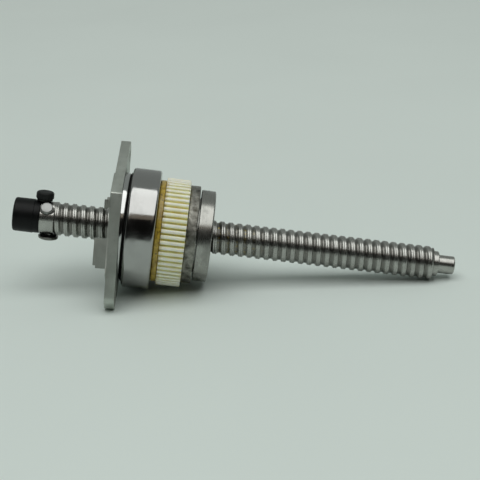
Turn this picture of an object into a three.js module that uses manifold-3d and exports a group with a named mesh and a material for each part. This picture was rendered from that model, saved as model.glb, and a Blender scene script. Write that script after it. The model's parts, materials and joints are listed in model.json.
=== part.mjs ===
// Ball screw actuator assembly: a nut that turns in a deep-groove bearing drives a screw that slides.
// Units are millimetres. The assembly is built along X (the screw's axis) and then laid on the ground,
// where it rests on the bearing, on the far end of the thread and on one ear of the retainer plate.
import * as THREE from 'three';
import { mergeVertices } from 'three/addons/utils/BufferGeometryUtils.js';
import Module from 'manifold-3d';

const wasm = await Module();
wasm.setup();

// ---- Driving dimensions -------------------------------------------------------------------------
// X = 0 is the bearing's left side face; +X points to the long, free end of the screw.
const GAP = 0.1;                      // clearance left between pieces that touch face to face
const ROUND = 32;                     // facets round the large rings
const SMALL = 20;                     // facets round pins and small turned pieces

const THREAD = { radius: 7.7, root: 6.9, lead: 4, groove: 1.25, floor: 0.6, phase: 0.25, sides: 12 };
const SCREW = { left: -33.3, right: 141.8, shoulder: 144.4, end: 152.1, shoulderR: 5.75, journalR: 4.2 };
const COLLAR = { left: -39.9, radius: 7.5, spigotLeft: -49, spigotR: 5 };
const CAP = { left: -52, radius: 7.75, boreR: 5.15, boreLeft: -49.3, corner: 0.9, lip: 2.9 };

const BEARING = { width: 13, outerR: 27.5, boreR: 15, pitchR: 21.25, ballR: 3.57, raceR: 3.95, balls: 11 };
const SHOULDERS = { outerR: 23.3, innerR: 19.2, chamfer: 1 };
const SEAL = { inset: 0.5, thickness: 0.8, innerR: 19.5, outerR: 23.1 };
const CAGE = { left: 1.9, right: 11.1, innerR: 20.3, outerR: 22.2, pocketR: 3.8 };

const PLATE = {
  left: -7.3, earLeft: -6.8, right: -2.4, boreR: 18.5, lean: THREE.MathUtils.degToRad(2.5), rise: 1.5,
  halfWidth: 29, halfLength: 41.8, tipHalfWidth: 4.5, tipRound: 2.5, sideRound: 1.2,
  boltAt: 35.5, boltR: 2.7, padUp: 14.5, padDown: 31, curveSteps: 8,
};
const LUG = { projection: 5.6, length: 13, depth: 5.2, along: 23.6, alongFar: 16.2, inset: 2.7, notch: 1.2 };
const SPACER = { left: -4.4, right: -0.75, innerR: 19.6, outerR: 24.8 };
const DAMPER = { left: -0.65, right: -0.1, innerR: 20, outerR: 25 };

const NUT = { left: -4.6, seatR: 14.95, seatRight: 13, bodyR: 17, right: 36, landR: 8.35, grooveR: 9.85 };
const WIPER = { thickness: 2, outerR: 11.8, innerR: 8.05, depth: 2.6, pocketR: 11.9 };
const CIRCLIP = { left: -1.6, right: -0.12, innerR: 14.25, outerR: 16.9, gapAngle: 0.5, grooveR: 14.1 };
const CIRCUIT = { centres: [3, 12, 24], pitchR: 8.25, ballR: 1.15, spacing: 2.45, balls: 16, sides: 5 };
const INSERT = { radius: 3, hole: 3.15, innerR: 10.2, clearTop: 0.5 };

const HUB = { left: 13.1, shoulderR: 23.3, shoulderRight: 15.5, rimSeatR: 20.5, right: 26.6, boreR: 17.1 };
const GEAR = { left: 15.7, right: 26.7, teeth: 59, module: 0.8, tipR: 24.65, innerR: 20.6 };
const THRUST = { left: 26.8, right: 31.4, outerR: 22.5, boreR: 17.1, chamfer: 0.5 };
const END = { left: 32, right: 38.6, outerR: 21, boreR: 17.1, lipLeft: 36.2, lipR: 9.2, chamfer: 0.9 };

// What stands out of the collar: a headed pin below, a guide shoe on its peg above, and a dowel between
// them on the near side. The pin leans away from upright by `roll`.
const PIN = { x: -35.8, roll: THREE.MathUtils.degToRad(6.5), radius: 2.2, hole: 2.35, far: 1.4 };
const HEAD = { radius: 4.6, top: 10.4, base: 8.35, dome: 1.2 };
const SHOE = { x: -38.7, radius: 4.1, base: 7.95, top: 12.1, round: 1.1 };
const PEG = { x: -38, radius: 1.4, hole: 1.55, end: 3.4 };
const WASHER = { radius: 3.8, inner: 2.35, base: 7.8, top: 8.25 };
const DOWEL = {
  x: -36.9, angle: Math.PI / 4, radius: 2.8, hole: 2.92, inner: 6.3, outer: 9, chamfer: 0.5,
  spotR: 3.6, spotAt: 7.1,
};

// ---- Resting attitude ----------------------------------------------------------------------------
// The bearing's lower right edge and the end of the thread touch the ground. The bearing stands on
// one of its facets, so its contact radius is the distance from the axis to the facet's middle.
const edgeX = BEARING.width - SHOULDERS.chamfer;
const contactR = BEARING.outerR * Math.cos(Math.PI / ROUND);
const tilt = Math.atan((contactR - THREAD.radius) / (SCREW.right - edgeX));
// The plate is loose on the nut: it sits a little high, leans back from square, and is rolled until its
// lower ear touches the ground too.
const groundDepth = (contactR + PLATE.rise + (edgeX - PLATE.right) * Math.tan(tilt))
  / (Math.cos(PLATE.lean) + Math.sin(PLATE.lean) * Math.tan(tilt));
const roll = rollUntilDepth(groundDepth);

// How far the plate's outline reaches below the axis shrinks as its ears turn away from vertical.
function rollUntilDepth(depth) {
  const outline = plateShape().getPoints(PLATE.curveSteps);
  let [low, high] = [Math.PI / 6, Math.PI / 2.2];
  for (let step = 0; step < 40; step++) {
    const angle = (low + high) / 2;
    const reach = Math.max(...outline.map((p) => p.x * Math.sin(angle) + p.y * Math.cos(angle)));
    [low, high] = reach > depth ? [angle, high] : [low, angle];
  }
  return (low + high) / 2;
}

// ---- Mesh helpers --------------------------------------------------------------------------------
// Shares vertices, drops empty triangles and turns every face outward.
function closed(geometry) {
  geometry.deleteAttribute('normal');
  geometry.deleteAttribute('uv');
  geometry.clearGroups();
  const merged = mergeVertices(geometry, 1e-4);
  const p = merged.attributes.position;
  const source = merged.index.array;
  const kept = [];
  let volume = 0;
  const [a, b, c] = [new THREE.Vector3(), new THREE.Vector3(), new THREE.Vector3()];
  for (let i = 0; i < source.length; i += 3) {
    const [ia, ib, ic] = [source[i], source[i + 1], source[i + 2]];
    if (ia !== ib && ib !== ic && ic !== ia) {
      kept.push(ia, ib, ic);
      a.fromBufferAttribute(p, ia);
      b.fromBufferAttribute(p, ib);
      c.fromBufferAttribute(p, ic);
      volume += a.dot(b.cross(c)) / 6;
    }
  }
  merged.setIndex(volume < 0 ? kept.reverse() : kept);
  return merged;
}

function toManifold(geometry) {
  const g = closed(geometry);
  return new wasm.Manifold(new wasm.Mesh({
    numProp: 3,
    vertProperties: new Float32Array(g.attributes.position.array),
    triVerts: new Uint32Array(g.index.array),
  }));
}

function fromManifold(solid) {
  const mesh = solid.getMesh();
  const geometry = new THREE.BufferGeometry();
  geometry.setAttribute('position', new THREE.BufferAttribute(new Float32Array(mesh.vertProperties), 3));
  geometry.setIndex(Array.from(mesh.triVerts));
  return geometry;
}

// Joins every geometry in `add`, then cuts every geometry in `remove` from the result.
function combine(add, remove = []) {
  let solid = toManifold(add[0]);
  for (const geometry of add.slice(1)) {
    solid = solid.add(toManifold(geometry));
  }
  for (const geometry of remove) {
    solid = solid.subtract(toManifold(geometry));
  }
  return fromManifold(solid);
}

// A closed outline of [x, radius] points turned about the X axis, with a flat facet facing down.
function turned(outline, sides = ROUND) {
  const points = outline.map(([x, r]) => new THREE.Vector2(r, x));
  const onAxis = outline[0][1] === 0;
  if (!onAxis) {
    points.push(points[0].clone());
  }
  const lathe = new THREE.LatheGeometry(points, sides, Math.PI / sides);
  return closed(lathe.rotateZ(-Math.PI / 2));
}

// A plain or chamfered ring between two radii.
function ring(left, right, innerR, outerR, chamfer = 0, sides = ROUND) {
  if (chamfer === 0) {
    return turned([[left, innerR], [right, innerR], [right, outerR], [left, outerR]], sides);
  }
  const c = chamfer;
  return turned([
    [left, innerR], [right, innerR], [right, outerR - c], [right - c, outerR],
    [left + c, outerR], [left, outerR - c],
  ], sides);
}

// A cylinder along local Z between two heights.
function post(radius, z0, z1, sides = SMALL) {
  return new THREE.CylinderGeometry(radius, radius, z1 - z0, sides)
    .rotateX(Math.PI / 2)
    .translate(0, 0, (z0 + z1) / 2);
}

function box(x0, x1, y0, y1, z0, z1) {
  return new THREE.BoxGeometry(x1 - x0, y1 - y0, z1 - z0)
    .translate((x0 + x1) / 2, (y0 + y1) / 2, (z0 + z1) / 2);
}

// Extrudes a flat shape, drawn in the (Y, Z) plane, along X.
function extrudeAlongX(shape, left, right, curveSegments = 6) {
  const geometry = new THREE.ExtrudeGeometry(shape, { depth: right - left, bevelEnabled: false, curveSegments });
  const turn = new THREE.Matrix4().makeBasis(
    new THREE.Vector3(0, 1, 0), new THREE.Vector3(0, 0, 1), new THREE.Vector3(1, 0, 0));
  return geometry.applyMatrix4(turn).translate(left, 0, 0);
}

// A polygon whose corners are rounded, each by its own setback.
function roundedPolygon(corners) {
  const shape = new THREE.Shape();
  corners.forEach(([y, z, setback], i) => {
    const here = new THREE.Vector2(y, z);
    const before = corners.at(i - 1);
    const after = corners[(i + 1) % corners.length];
    const towards = ([py, pz]) => new THREE.Vector2(py, pz).sub(here).normalize().multiplyScalar(setback).add(here);
    const [start, end] = [towards(before), towards(after)];
    if (i === 0) {
      shape.moveTo(start.x, start.y);
    } else {
      shape.lineTo(start.x, start.y);
    }
    shape.quadraticCurveTo(y, z, end.x, end.y);
  });
  shape.closePath();
  return shape;
}

// A right-hand helical bar. The outline lists [offset along the axis, radius] over one lead.
function helicalBar(start, leads, outline) {
  const { lead, sides } = THREAD;
  const perLead = outline.length;
  const rows = leads * perLead;
  const columns = [];
  const positions = [];
  for (let side = 0; side < sides; side++) {
    const angle = (2 * Math.PI * side) / sides;
    const count = side === 0 ? rows + perLead : rows;
    columns.push([]);
    for (let row = 0; row < count; row++) {
      const [offset, radius] = outline[row % perLead];
      const x = start + offset + lead * (Math.floor(row / perLead) + side / sides);
      columns[side].push(positions.length / 3);
      positions.push(x, radius * Math.cos(angle), radius * Math.sin(angle));
    }
  }
  const at = (side, row) => (side === sides ? columns[0][row + perLead] : columns[side][row]);
  const faces = [];
  for (let side = 0; side < sides; side++) {
    for (let row = 0; row < rows - 1; row++) {
      faces.push(at(side, row), at(side, row + 1), at(side + 1, row));
      faces.push(at(side, row + 1), at(side + 1, row + 1), at(side + 1, row));
    }
  }
  // Each end is closed by a fan from the axis, along the last turn and the step between two turns.
  for (const row of [0, rows - 1]) {
    const rim = [];
    for (let side = 0; side <= sides; side++) {
      rim.push(at(side, row));
    }
    for (let step = perLead - 1; step > 0; step--) {
      rim.push(columns[0][row + step]);
    }
    const centre = positions.length / 3;
    positions.push(positions[3 * rim[0]] + lead / 2, 0, 0);
    rim.forEach((vertex, i) => {
      const next = rim[(i + 1) % rim.length];
      faces.push(...(row === 0 ? [centre, vertex, next] : [centre, next, vertex]));
    });
  }
  const geometry = new THREE.BufferGeometry();
  geometry.setAttribute('position', new THREE.Float32BufferAttribute(positions, 3));
  geometry.setIndex(faces);
  return geometry;
}

// Where a helical groove's centre starts, at least `before` ahead of x.
function grooveStart(x, before) {
  const { lead, phase } = THREAD;
  return phase + lead * Math.floor((x - before - phase) / lead);
}

// ---- Screw and what it carries ---------------------------------------------------------------------
function screwShaft() {
  const { lead, radius, root, groove, floor } = THREAD;
  const outline = [[-groove, radius], [-floor, root], [floor, root], [groove, radius]];
  const start = grooveStart(SCREW.left, 2 * lead);
  const leads = Math.ceil((SCREW.right - start) / lead) + 2;
  const thread = toManifold(helicalBar(start, leads, outline));
  const envelope = toManifold(turned([
    [SCREW.left, 0], [SCREW.left, radius + 1], [SCREW.right, radius + 1], [SCREW.right, 0],
  ], SMALL));
  const c = 0.6;
  const ends = [
    turned([[-30, 0], [-30, 6], [SCREW.left, 6], [SCREW.left, COLLAR.radius - 0.3],
      [SCREW.left - 0.3, COLLAR.radius], [COLLAR.left, COLLAR.radius], [COLLAR.left, COLLAR.spigotR],
      [COLLAR.spigotLeft, COLLAR.spigotR], [COLLAR.spigotLeft, 0]], SMALL),
    turned([[138, 0], [138, SCREW.shoulderR], [SCREW.shoulder, SCREW.shoulderR],
      [SCREW.shoulder, SCREW.journalR], [SCREW.end - c, SCREW.journalR],
      [SCREW.end, SCREW.journalR - c], [SCREW.end, 0]], SMALL),
  ];
  const bar = fromManifold(thread.intersect(envelope));
  const blind = 0.2;
  const holes = [
    post(PIN.hole, -20, PIN.far + blind).translate(PIN.x, 0, 0),
    post(PEG.hole, PEG.end - blind, 20).translate(PEG.x, 0, 0),
    post(DOWEL.hole, DOWEL.inner - blind, 20).rotateX(DOWEL.angle).translate(DOWEL.x, 0, 0),
    post(DOWEL.spotR, DOWEL.spotAt, 20).rotateX(DOWEL.angle).translate(DOWEL.x, 0, 0),
  ];
  holes.forEach((hole) => hole.rotateX(-PIN.roll));
  return combine([bar, ...ends], holes);
}

function endCap() {
  const { left, radius, boreR, boreLeft, corner, lip } = CAP;
  const right = COLLAR.left - GAP;
  const arc = [0, 1, 2, 3].map((i) => {
    const angle = (i * Math.PI) / 6;
    return [left + corner * (1 - Math.sin(angle)), radius - corner * (1 - Math.cos(angle))];
  });
  return turned([
    [left, 0], ...arc.reverse(), [right - lip, radius], [right - lip, radius - 0.15],
    [right, radius - 0.15], [right, boreR], [boreLeft, boreR], [boreLeft, 0],
  ], 28);
}

// Local Z points up along the pin; the head is at the low end.
function crossPin() {
  const { radius, far } = PIN;
  const outline = [[0, -HEAD.top], [HEAD.radius - HEAD.dome, -HEAD.top], [HEAD.radius, -HEAD.top + 0.8],
    [HEAD.radius, -HEAD.base], [radius, -HEAD.base], [radius, far - 0.3], [radius - 0.3, far], [0, far]];
  return pinLathe(outline).translate(PIN.x, 0, 0);
}

// Turns an outline of [radius, z] points about local Z.
function pinLathe(outline, sides = SMALL) {
  const points = outline.map(([r, z]) => new THREE.Vector2(r, z));
  if (outline[0][0] !== 0) {
    points.push(points[0].clone());
  }
  return closed(new THREE.LatheGeometry(points, sides).rotateX(Math.PI / 2));
}

function pinWasher() {
  const { radius, inner, base, top } = WASHER;
  return pinLathe([[inner, -top], [radius, -top], [radius, -base], [inner, -base]]).translate(PIN.x, 0, 0);
}

function guideShoe() {
  const { x, radius, base, top, round } = SHOE;
  const block = pinLathe([[0, base], [radius, base], [radius, top - round],
    [radius - 0.3 * round, top - 0.3 * round], [radius - round, top], [0, top]], 24).translate(x, 0, 0);
  const peg = post(PEG.radius, PEG.end, base + 1).translate(PEG.x, 0, 0);
  return combine([block, peg]);
}

function lockingDowel() {
  const { x, angle, radius, inner, outer, chamfer } = DOWEL;
  const outline = [[0, inner], [radius, inner], [radius, outer - chamfer], [radius - chamfer, outer], [0, outer]];
  return pinLathe(outline).rotateX(angle).translate(x, 0, 0);
}

// ---- Bearing ---------------------------------------------------------------------------------------
// Points round a raceway's groove, from one shoulder to the other, on the outer or inner ring.
function raceway(shoulderR, outward, steps = 4) {
  const { pitchR, raceR, width } = BEARING;
  const half = Math.sqrt(raceR ** 2 - (shoulderR - pitchR) ** 2);
  const reach = Math.asin(half / raceR);
  const points = [];
  for (let i = 0; i <= steps; i++) {
    const angle = reach * (1 - (2 * i) / steps);
    points.push([width / 2 + raceR * Math.sin(angle), pitchR + outward * raceR * Math.cos(angle)]);
  }
  return points;
}

function outerRing() {
  const { width, outerR } = BEARING;
  const c = SHOULDERS.chamfer;
  return turned([
    [0, SHOULDERS.outerR], [0, outerR - c], [c, outerR], [width - c, outerR], [width, outerR - c],
    [width, SHOULDERS.outerR], ...raceway(SHOULDERS.outerR, 1),
  ]);
}

function innerRing() {
  const { width, boreR } = BEARING;
  const c = 0.6;
  return turned([
    [0, SHOULDERS.innerR], [0, boreR + c], [c, boreR + GAP], [width - c, boreR + GAP], [width, boreR + c],
    [width, SHOULDERS.innerR], ...raceway(SHOULDERS.innerR, -1),
  ]);
}

function bearingBall(index) {
  const angle = (2 * Math.PI * index) / BEARING.balls;
  const { width, pitchR, ballR } = BEARING;
  return closed(new THREE.SphereGeometry(ballR, 10, 7))
    .translate(width / 2, pitchR * Math.cos(angle), pitchR * Math.sin(angle));
}

function bearingCage() {
  const { left, right, innerR, outerR, pocketR } = CAGE;
  const pockets = [];
  for (let i = 0; i < BEARING.balls; i++) {
    const angle = (2 * Math.PI * i) / BEARING.balls;
    pockets.push(post(pocketR, BEARING.pitchR - 3, BEARING.pitchR + 3, 10)
      .rotateX(angle - Math.PI / 2).translate(BEARING.width / 2, 0, 0));
  }
  return combine([ring(left, right, innerR, outerR, 0, 33)], pockets);
}

function bearingSeal(left) {
  return ring(left, left + SEAL.thickness, SEAL.innerR, SEAL.outerR);
}

// ---- Retainer ----------------------------------------------------------------------------------------
// Local Z runs along the ears (up and away), local -Y towards the near side vertex.
function plateShape() {
  const { halfWidth: w, halfLength: l, tipHalfWidth: t, tipRound, sideRound, boreR, boltAt, boltR } = PLATE;
  const corners = [
    [w, 0, sideRound], [t, l, tipRound], [-t, l, tipRound],
    [-w, 0, sideRound], [-t, -l, tipRound], [t, -l, tipRound],
  ];
  const shape = roundedPolygon(corners);
  const circle = (z, r) => new THREE.Path().absarc(0, z, r, 0, 2 * Math.PI, true);
  shape.holes.push(circle(0, boreR), circle(boltAt, boltR), circle(-boltAt, boltR));
  return shape;
}

// A lug beside a slanted edge; side +1 is the near, lower one and -1 the far, upper one.
function plateLug(side) {
  const { halfWidth, halfLength, tipHalfWidth } = PLATE;
  const edge = new THREE.Vector2(tipHalfWidth - halfWidth, halfLength).normalize();
  const normal = new THREE.Vector2(edge.y, -edge.x);
  const along = side > 0 ? LUG.along : LUG.alongFar;
  const across = halfWidth + (along * edge.x) / edge.y;
  const centre = new THREE.Vector2(across, along).addScaledVector(normal, -LUG.inset);
  const back = -LUG.projection;
  const block = box(back, 1.5, -LUG.depth / 2, LUG.depth / 2, -LUG.length / 2, LUG.length / 2);
  const notch = box(back - 1, back + LUG.notch, -9, 9, -LUG.length / 2 - 1, -LUG.length / 2 + LUG.notch);
  const lean = Math.atan2(-edge.x, edge.y);
  return combine([block], [notch])
    .rotateX(lean)
    .translate(PLATE.left, -centre.x, -centre.y)
    .rotateX(side > 0 ? 0 : Math.PI);
}

function retainerPlate() {
  const shape = plateShape();
  const base = extrudeAlongX(shape, PLATE.earLeft, PLATE.right, PLATE.curveSteps);
  const pad = toManifold(extrudeAlongX(shape, PLATE.left, PLATE.earLeft + 0.5, PLATE.curveSteps));
  const window = toManifold(box(PLATE.left - 1, PLATE.right, -60, 60, -PLATE.padDown, PLATE.padUp));
  return combine([base, fromManifold(pad.intersect(window)), plateLug(1), plateLug(-1)]);
}

// The spacer's left face follows the leaning plate, so the ring is wide above and thin below.
function spacerRing() {
  const { left, right, innerR, outerR } = SPACER;
  const behindPlate = box(-20, GAP, -60, 60, -60, 60).rotateY(-PLATE.lean)
    .translate(PLATE.right, 0, PLATE.rise);
  return combine([ring(left, right, innerR, outerR, 0.2)], [behindPlate]);
}

// ---- Nut and what turns with it ------------------------------------------------------------------------
function ballNut() {
  const { left, right, seatR, seatRight, bodyR, landR, grooveR } = NUT;
  const { lead } = THREAD;
  const body = turned([
    [left, 5], [left, seatR - 0.5], [left + 0.5, seatR],
    [CIRCLIP.left - 0.15, seatR], [CIRCLIP.left - 0.15, CIRCLIP.grooveR],
    [CIRCLIP.right + 0.1, CIRCLIP.grooveR], [CIRCLIP.right + 0.1, seatR],
    [seatRight, seatR], [seatRight, bodyR - 0.3], [seatRight + 0.3, bodyR],
    [right - 0.5, bodyR], [right, bodyR - 0.5], [right, 5],
  ], 28);
  const outline = [[-1.6, landR], [-0.95, grooveR], [0.95, grooveR], [1.6, landR]];
  const start = grooveStart(left, 3 * lead);
  const leads = Math.ceil((right - start) / lead) + 3;
  const cuts = [
    helicalBar(start, leads, outline),
    turned([[left - 1, 0], [left - 1, WIPER.pocketR], [left + WIPER.depth, WIPER.pocketR],
      [left + WIPER.depth, 0]], SMALL),
    turned([[right + 1, 0], [right + 1, WIPER.pocketR], [right - WIPER.depth, WIPER.pocketR],
      [right - WIPER.depth, 0]], SMALL),
  ];
  CIRCUIT.centres.forEach((x, i) => {
    cuts.push(post(INSERT.hole, 6, 20, 14).rotateX(insertAngle(i)).translate(x, 0, 0));
  });
  return combine([body], cuts);
}

// The return inserts sit a third of a turn apart.
function insertAngle(index) {
  return (2 * Math.PI * index) / CIRCUIT.centres.length;
}

function returnInsert(index) {
  const x = CIRCUIT.centres[index];
  const seat = x < NUT.seatRight ? NUT.seatR : NUT.bodyR;
  const { radius, innerR, clearTop } = INSERT;
  return closed(post(radius, innerR, seat - clearTop, 14)).rotateX(insertAngle(index)).translate(x, 0, 0);
}

// One loop of balls, as a single beaded strand that follows the groove for most of a turn.
function ballCircuit(index) {
  const { pitchR, ballR, spacing, balls, sides, centres } = CIRCUIT;
  const { lead, phase } = THREAD;
  const helixLength = Math.hypot(2 * Math.PI * pitchR, lead);
  // insertAngle turns a post from +Z towards -Y, so its direction is 90 degrees plus that angle.
  const insertAt = Math.PI / 2 + insertAngle(index);
  const middle = insertAt + Math.PI;
  const turns = Math.round((centres[index] - phase) / lead - middle / (2 * Math.PI));
  const stations = [[-0.86, 0.5], [0, 1], [0.86, 0.5]];
  const positions = [];
  for (let ball = 0; ball < balls; ball++) {
    for (const [along, size] of stations) {
      const travel = (ball - (balls - 1) / 2) * spacing + along * ballR;
      const angle = middle + (2 * Math.PI * travel) / helixLength;
      const x = phase + lead * (turns + angle / (2 * Math.PI));
      for (let side = 0; side < sides; side++) {
        const turn = (2 * Math.PI * side) / sides;
        const r = pitchR + size * ballR * Math.cos(turn);
        positions.push(x + size * ballR * Math.sin(turn), r * Math.cos(angle), r * Math.sin(angle));
      }
    }
  }
  const rows = balls * stations.length;
  const faces = [];
  for (let row = 0; row < rows - 1; row++) {
    for (let side = 0; side < sides; side++) {
      const [a, b] = [row * sides + side, row * sides + ((side + 1) % sides)];
      faces.push(a, b, a + sides, b, b + sides, a + sides);
    }
  }
  for (let side = 1; side < sides - 1; side++) {
    const last = (rows - 1) * sides;
    faces.push(0, side + 1, side, last, last + side, last + side + 1);
  }
  const geometry = new THREE.BufferGeometry();
  geometry.setAttribute('position', new THREE.Float32BufferAttribute(positions, 3));
  geometry.setIndex(faces);
  return closed(geometry);
}

function wiper(left) {
  return ring(left, left + WIPER.thickness, WIPER.innerR, WIPER.outerR - GAP, 0, SMALL);
}

function circlip() {
  const { left, right, innerR, outerR, gapAngle } = CIRCLIP;
  const shape = new THREE.Shape();
  shape.absarc(0, 0, outerR, gapAngle, 2 * Math.PI - gapAngle, false);
  shape.absarc(0, 0, innerR, 2 * Math.PI - gapAngle, gapAngle, true);
  shape.closePath();
  return closed(extrudeAlongX(shape, left, right, 14));
}

function gearHub() {
  const { left, shoulderR, shoulderRight, rimSeatR, right, boreR } = HUB;
  return turned([
    [left, boreR], [left, shoulderR - 0.6], [left + 0.6, shoulderR], [shoulderRight, shoulderR],
    [shoulderRight, rimSeatR], [right, rimSeatR], [right, boreR],
  ]);
}

// A spur rim with three points a tooth.
function driveGear() {
  const { left, right, teeth, module, tipR, innerR } = GEAR;
  const rootR = tipR - 2.25 * module;
  const outline = [[-0.24, tipR], [0.24, tipR], [0.5, rootR]];
  const positions = [];
  for (let tooth = 0; tooth < teeth; tooth++) {
    for (const [offset, radius] of outline) {
      const angle = (2 * Math.PI * (tooth + offset)) / teeth;
      for (const [x, r] of [[left, radius], [right, radius], [right, innerR], [left, innerR]]) {
        positions.push(x, r * Math.cos(angle), r * Math.sin(angle));
      }
    }
  }
  const columns = teeth * outline.length;
  const faces = [];
  for (let column = 0; column < columns; column++) {
    for (let corner = 0; corner < 4; corner++) {
      const next = ((column + 1) % columns) * 4;
      const [a, b] = [column * 4 + corner, column * 4 + ((corner + 1) % 4)];
      const [c, d] = [next + corner, next + ((corner + 1) % 4)];
      faces.push(a, c, b, c, d, b);
    }
  }
  const geometry = new THREE.BufferGeometry();
  geometry.setAttribute('position', new THREE.Float32BufferAttribute(positions, 3));
  geometry.setIndex(faces);
  return closed(geometry);
}

function endRing() {
  const { left, right, outerR, boreR, lipLeft, lipR, chamfer: c } = END;
  return turned([
    [left, boreR], [left, outerR - 0.4], [left + 0.4, outerR], [right - c, outerR], [right, outerR - c],
    [right, lipR], [lipLeft, lipR], [lipLeft, boreR],
  ]);
}

// ---- Assembly --------------------------------------------------------------------------------------------
const finishes = {
  screwSteel: { color: 0x8a8983, roughness: 0.28, metalness: 1 },
  bearingSteel: { color: 0x9a9c98, roughness: 0.12, metalness: 1 },
  ringSteel: { color: 0x85827b, roughness: 0.35, metalness: 1 },
  castSteel: { color: 0x5f5d57, roughness: 0.55, metalness: 1 },
  plateGrey: { color: 0x7d837c, roughness: 0.6, metalness: 0.7 },
  blackPlastic: { color: 0x1b1c1c, roughness: 0.5, metalness: 0 },
  blackRubber: { color: 0x101010, roughness: 0.8, metalness: 0 },
  creamPlastic: { color: 0xdcdcc0, roughness: 0.45, metalness: 0 },
  amberPlastic: { color: 0x8c7a2e, roughness: 0.4, metalness: 0 },
  brassCage: { color: 0xa9894a, roughness: 0.4, metalness: 1 },
};

function part(name, geometry, finish) {
  const material = new THREE.MeshStandardMaterial({ ...finishes[finish], flatShading: true });
  const mesh = new THREE.Mesh(closed(geometry), material);
  mesh.name = name;
  return mesh;
}

// The plate leans about the middle of its right face, after its own roll about the screw.
const leaning = new THREE.Group();
leaning.position.set(PLATE.right, 0, PLATE.rise);
leaning.rotation.y = -PLATE.lean;
const rolled = new THREE.Group();
rolled.rotation.x = -roll;
const plate = part('retainer_plate', retainerPlate(), 'plateGrey');
plate.position.x = -PLATE.right;
rolled.add(plate);
leaning.add(rolled);

const pinned = new THREE.Group();
pinned.rotation.x = -PIN.roll;
pinned.add(
  part('cross_pin', crossPin(), 'screwSteel'),
  part('pin_washer', pinWasher(), 'blackRubber'),
  part('guide_shoe', guideShoe(), 'blackPlastic'),
  part('locking_dowel', lockingDowel(), 'bearingSteel'),
);

const axial = new THREE.Group();
axial.add(
  part('screw_shaft', screwShaft(), 'screwSteel'),
  part('end_cap', endCap(), 'blackPlastic'),
  part('spacer_ring', spacerRing(), 'bearingSteel'),
  part('damper_ring', ring(DAMPER.left, DAMPER.right, DAMPER.innerR, DAMPER.outerR), 'blackRubber'),
  part('bearing_outer_ring', outerRing(), 'bearingSteel'),
  part('bearing_inner_ring', innerRing(), 'bearingSteel'),
  part('bearing_cage', bearingCage(), 'brassCage'),
  part('bearing_seal_left', bearingSeal(SEAL.inset), 'blackRubber'),
  part('bearing_seal_right', bearingSeal(BEARING.width - SEAL.inset - SEAL.thickness), 'blackRubber'),
  part('ball_nut', ballNut(), 'ringSteel'),
  part('bearing_circlip', circlip(), 'ringSteel'),
  part('wiper_left', wiper(NUT.left + 0.3), 'blackRubber'),
  part('wiper_right', wiper(NUT.right - WIPER.depth + 0.3), 'blackRubber'),
  part('gear_hub', gearHub(), 'amberPlastic'),
  part('drive_gear', driveGear(), 'creamPlastic'),
  part('thrust_ring', ring(THRUST.left, THRUST.right, THRUST.boreR, THRUST.outerR, THRUST.chamfer), 'castSteel'),
  part('end_ring', endRing(), 'ringSteel'),
);
for (let i = 0; i < BEARING.balls; i++) {
  axial.add(part(`bearing_ball_${String(i + 1).padStart(2, '0')}`, bearingBall(i), 'bearingSteel'));
}
CIRCUIT.centres.forEach((_, i) => {
  axial.add(part(`return_insert_${i + 1}`, returnInsert(i), 'blackPlastic'));
  axial.add(part(`ball_circuit_${i + 1}`, ballCircuit(i), 'bearingSteel'));
});

// The screw's axis tips down towards +X; the origin is under the middle of the whole assembly.
const lying = new THREE.Group();
lying.name = 'lying_frame';
lying.rotation.y = tilt;
lying.add(leaning, pinned, axial);

const assembly = new THREE.Group();
assembly.name = 'ball_screw_assembly';
assembly.add(lying);
assembly.updateMatrixWorld(true);
const bounds = new THREE.Box3().setFromObject(assembly, true);
const middle = bounds.getCenter(new THREE.Vector3());
lying.position.set(-middle.x, -middle.y, -bounds.min.z);
assembly.updateMatrixWorld(true);

export default assembly;
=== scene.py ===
"""Looks of the ball screw assembly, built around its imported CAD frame.

Pieces are modelled in millimetres in the assembly's own axes: X runs along the screw from the bearing's
left face to the long free end, and a piece turned on a lathe has its own X as its turning axis.
"""

import json
import math

import bmesh
import bpy
from mathutils import Matrix, Vector, noise


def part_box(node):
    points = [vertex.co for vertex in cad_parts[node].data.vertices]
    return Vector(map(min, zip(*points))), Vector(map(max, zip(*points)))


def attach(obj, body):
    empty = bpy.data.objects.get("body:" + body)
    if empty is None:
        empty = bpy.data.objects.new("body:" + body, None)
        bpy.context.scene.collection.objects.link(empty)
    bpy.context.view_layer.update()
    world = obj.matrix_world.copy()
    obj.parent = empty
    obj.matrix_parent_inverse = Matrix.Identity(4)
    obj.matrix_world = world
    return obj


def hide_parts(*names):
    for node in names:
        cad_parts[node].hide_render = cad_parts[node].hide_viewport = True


MM = 0.001
SIDES = 144                 # facets round the large rings
PIN_SIDES = 64              # facets round pins, balls and holes

# ---- Dimensions, in millimetres ----------------------------------------------------------------------
LEAD = 4.0
PHASE = 0.25                # where a groove's centre crosses the section's own Y axis
THREAD_R = 7.7
ROOT_R = 6.78
STATIONS = 20               # mesh rows over one lead of thread
THREAD_SIDES = 96

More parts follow.
